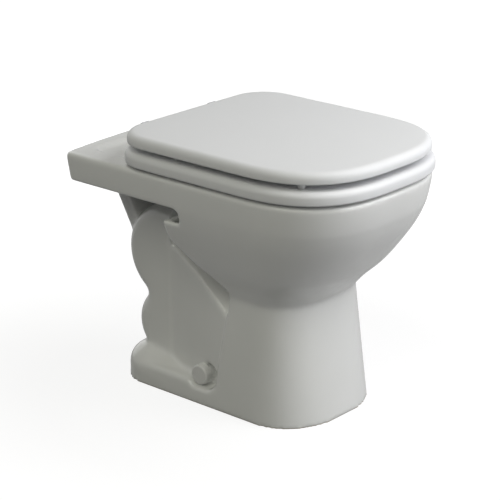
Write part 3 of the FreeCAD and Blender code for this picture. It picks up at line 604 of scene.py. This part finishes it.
easing = {
    "flatAngle": 1.5,  # facets within this are joined first
    "leastAngle": 40,
    "steps": 3,
    "smoothAngle": 40,
    "sealWidth": 0.001,
}
eased = {  # body, slot, finish, width
    "hinge_pillar": ("pan", "hinge_chrome", chromeFinish, 0.0008),
    "hinge_pin": ("pan", "steel", chromeFinish, 0.0006),
    "hinge_base_washer": ("pan", "buffer_rubber", padFinish, 0.0006),
    "hinge_stud": ("pan", "steel", steelFinish, 0.0006),
    "hinge_cone_washer": ("pan", "seal_rubber", sealFinish, 0.0006),
    "hinge_nut_washer": ("pan", "steel", steelFinish, 0.0003),
    "hinge_wing_nut": ("pan", "fitting_plastic", fittingFinish, 0.0007),
    "lid_leaf": ("lid", "hinge_chrome", chromeFinish, 0.0004),
    "lid_leaf_screws": ("lid", "steel", steelFinish, 0.0002),
    "seat_leaf": ("seat", "hinge_chrome", chromeFinish, 0.0004),
    "seat_leaf_screws": ("seat", "steel", steelFinish, 0.0002),
    "fixing_cap": ("pan", "cap_plastic", capFinish, 0.0006),
    "fixing_sleeve": ("pan", "fitting_plastic", fittingFinish, 0.0004),
    "fixing_washer": ("pan", "steel", steelFinish, 0.0003),
    "fixing_screw": ("pan", "steel", steelFinish, 0.0004),
    "floor_bracket": ("pan", "steel", steelFinish, 0.0006),
}


def easeEdges(node, body, slotName, finish, width):
    piece = copyNode(node + "_eased", node)
    selectAll(piece, "FACE")
    bpy.ops.mesh.dissolve_limited(angle_limit=math.radians(easing["flatAngle"]))
    leaveEdit()
    ease = piece.modifiers.new("ease", "BEVEL")
    ease.width = width
    ease.segments = easing["steps"]
    ease.limit_method = "ANGLE"
    ease.angle_limit = math.radians(easing["leastAngle"])
    applyModifiers(piece)
    smoothShade(piece, easing["smoothAngle"])
    finishPiece(piece, body, slotName, finish, node)


for name, choice in eased.items():
    for side in ("right", "left"):
        easeEdges(name + "_" + side, *choice)
for name in ("outlet_seal", "inlet_seal"):
    easeEdges(name, "pan", "seal_rubber", sealFinish, easing["sealWidth"])
print("hinges, fixings and seals eased")


# floor, light and camera

studio = {
    "floorSize": 12.0,
    "floorLow": opaque(0.18, 0.18, 0.18),
    "floorHigh": opaque(0.20, 0.20, 0.20),
    "floorScale": 3.0,
    "floorRough": 0.9,
    "glow": (0.84, 1.0),  # near the object and far from it, so the paper reads white
    "glowReach": (0.35, 1.1),
    "skyLight": 0.045,
    "floorShine": 0.40,  # how much of the white room shows in the glaze and the metal
    "skyShine": 0.65,
    "lampAim": (0.0, 0.0, 0.22),
    "lamps": (  # name, place, size, power, colour
        ("key", (0.68, -1.18, 1.54), 1.4, 25.5, (0.985, 0.99, 1.0)),
        ("low", (0.67, -2.06, 0.6), 1.3, 10.0, (0.985, 0.99, 1.0)),
        ("fill", (-2.95, -0.85, 3.51), 3.2, 66.0, (1.0, 1.0, 0.88)),
        ("back", (0.75, 2.8, 1.0), 1.9, 9.0, (1.0, 1.0, 1.0)),
    ),
}


def addSeen(nodes, links, share):
    # 1 where the camera looks, less in a shine, and 0 for light that falls on the object
    path = nodes.new("ShaderNodeLightPath")
    shine = nodes.new("ShaderNodeMath")
    shine.operation = "MULTIPLY"
    shine.inputs[1].default_value = share
    links.new(path.outputs["Is Glossy Ray"], shine.inputs[0])
    total = shine.outputs[0]
    for kind in ("Is Camera Ray", "Is Transmission Ray"):
        either = nodes.new("ShaderNodeMath")
        either.operation = "MAXIMUM"
        links.new(total, either.inputs[0])
        links.new(path.outputs[kind], either.inputs[1])
        total = either.outputs[0]
    return total


def makeFloor():
    bpy.ops.mesh.primitive_plane_add(size=studio["floorSize"], location=(0, 0, 0))
    floor = bpy.context.object
    floor.name = "paperFloor"
    finish, nodes, links, shader = newFinish("paleFloor")
    tone = addNoise(nodes, links, studio["floorScale"])
    tint = addRamp(nodes, links, tone, (0, 1), studio["floorLow"], studio["floorHigh"])
    links.new(tint, shader.inputs["Base Color"])
    shader.inputs["Roughness"].default_value = studio["floorRough"]
    where = nodes.new("ShaderNodeTexCoord")
    reach = nodes.new("ShaderNodeVectorMath")
    reach.operation = "LENGTH"
    links.new(where.outputs["Object"], reach.inputs[0])
    glow = addRange(nodes, links, reach.outputs["Value"], *studio["glow"], *studio["glowReach"])
    shown = nodes.new("ShaderNodeMath")
    shown.operation = "MULTIPLY"
    links.new(addSeen(nodes, links, studio["floorShine"]), shown.inputs[0])
    links.new(glow, shown.inputs[1])
    shader.inputs["Emission Color"].default_value = opaque(1, 1, 1)
    links.new(shown.outputs[0], shader.inputs["Emission Strength"])
    floor.data.materials.append(finish)


def makeSky():
    world = bpy.data.worlds.new("studioSky")
    bpy.context.scene.world = world
    world.use_nodes = True
    nodes, links = world.node_tree.nodes, world.node_tree.links
    sky = nodes["Background"]
    seen = addSeen(nodes, links, studio["skyShine"])
    strength = addRange(nodes, links, seen, studio["skyLight"], 1.0, 0.0, 1.0)
    sky.inputs["Color"].default_value = opaque(1, 1, 1)
    links.new(strength, sky.inputs["Strength"])


def addLamp(name, place, size, power, colour):
    bpy.ops.object.light_add(type="AREA", location=place)
    lamp = bpy.context.object
    lamp.name = name
    lamp.data.size = size
    lamp.data.energy = power
    lamp.data.color = colour
    lamp.rotation_mode = "QUATERNION"
    lamp.rotation_quaternion = (Vector(studio["lampAim"]) - Vector(place)).to_track_quat("-Z", "Y")


camera = {
    "aim": (-0.00109, 0.02037, 0.22850),
    "azimuth": -49.01,
    "elevation": 19.8,
    "distance": 2.9679,
    "lens": 134.93,
    "sensor": 36,
}


def makeCamera():
    turn, rise = math.radians(camera["azimuth"]), math.radians(camera["elevation"])
    back = Vector((math.sin(turn) * math.cos(rise), -math.cos(turn) * math.cos(rise), math.sin(rise)))
    place = Vector(camera["aim"]) + back * camera["distance"]
    bpy.ops.object.camera_add(location=place)
    eye = bpy.context.object
    eye.name = "photoCamera"
    eye.rotation_mode = "QUATERNION"
    eye.rotation_quaternion = (-back).to_track_quat("-Z", "Y")
    eye.data.lens = camera["lens"]
    eye.data.sensor_width = camera["sensor"]
    bpy.context.scene.camera = eye


makeFloor()
makeSky()
for lamp in studio["lamps"]:
    addLamp(*lamp)
makeCamera()
bpy.context.scene.view_settings.view_transform = "Standard"
print("studio set")
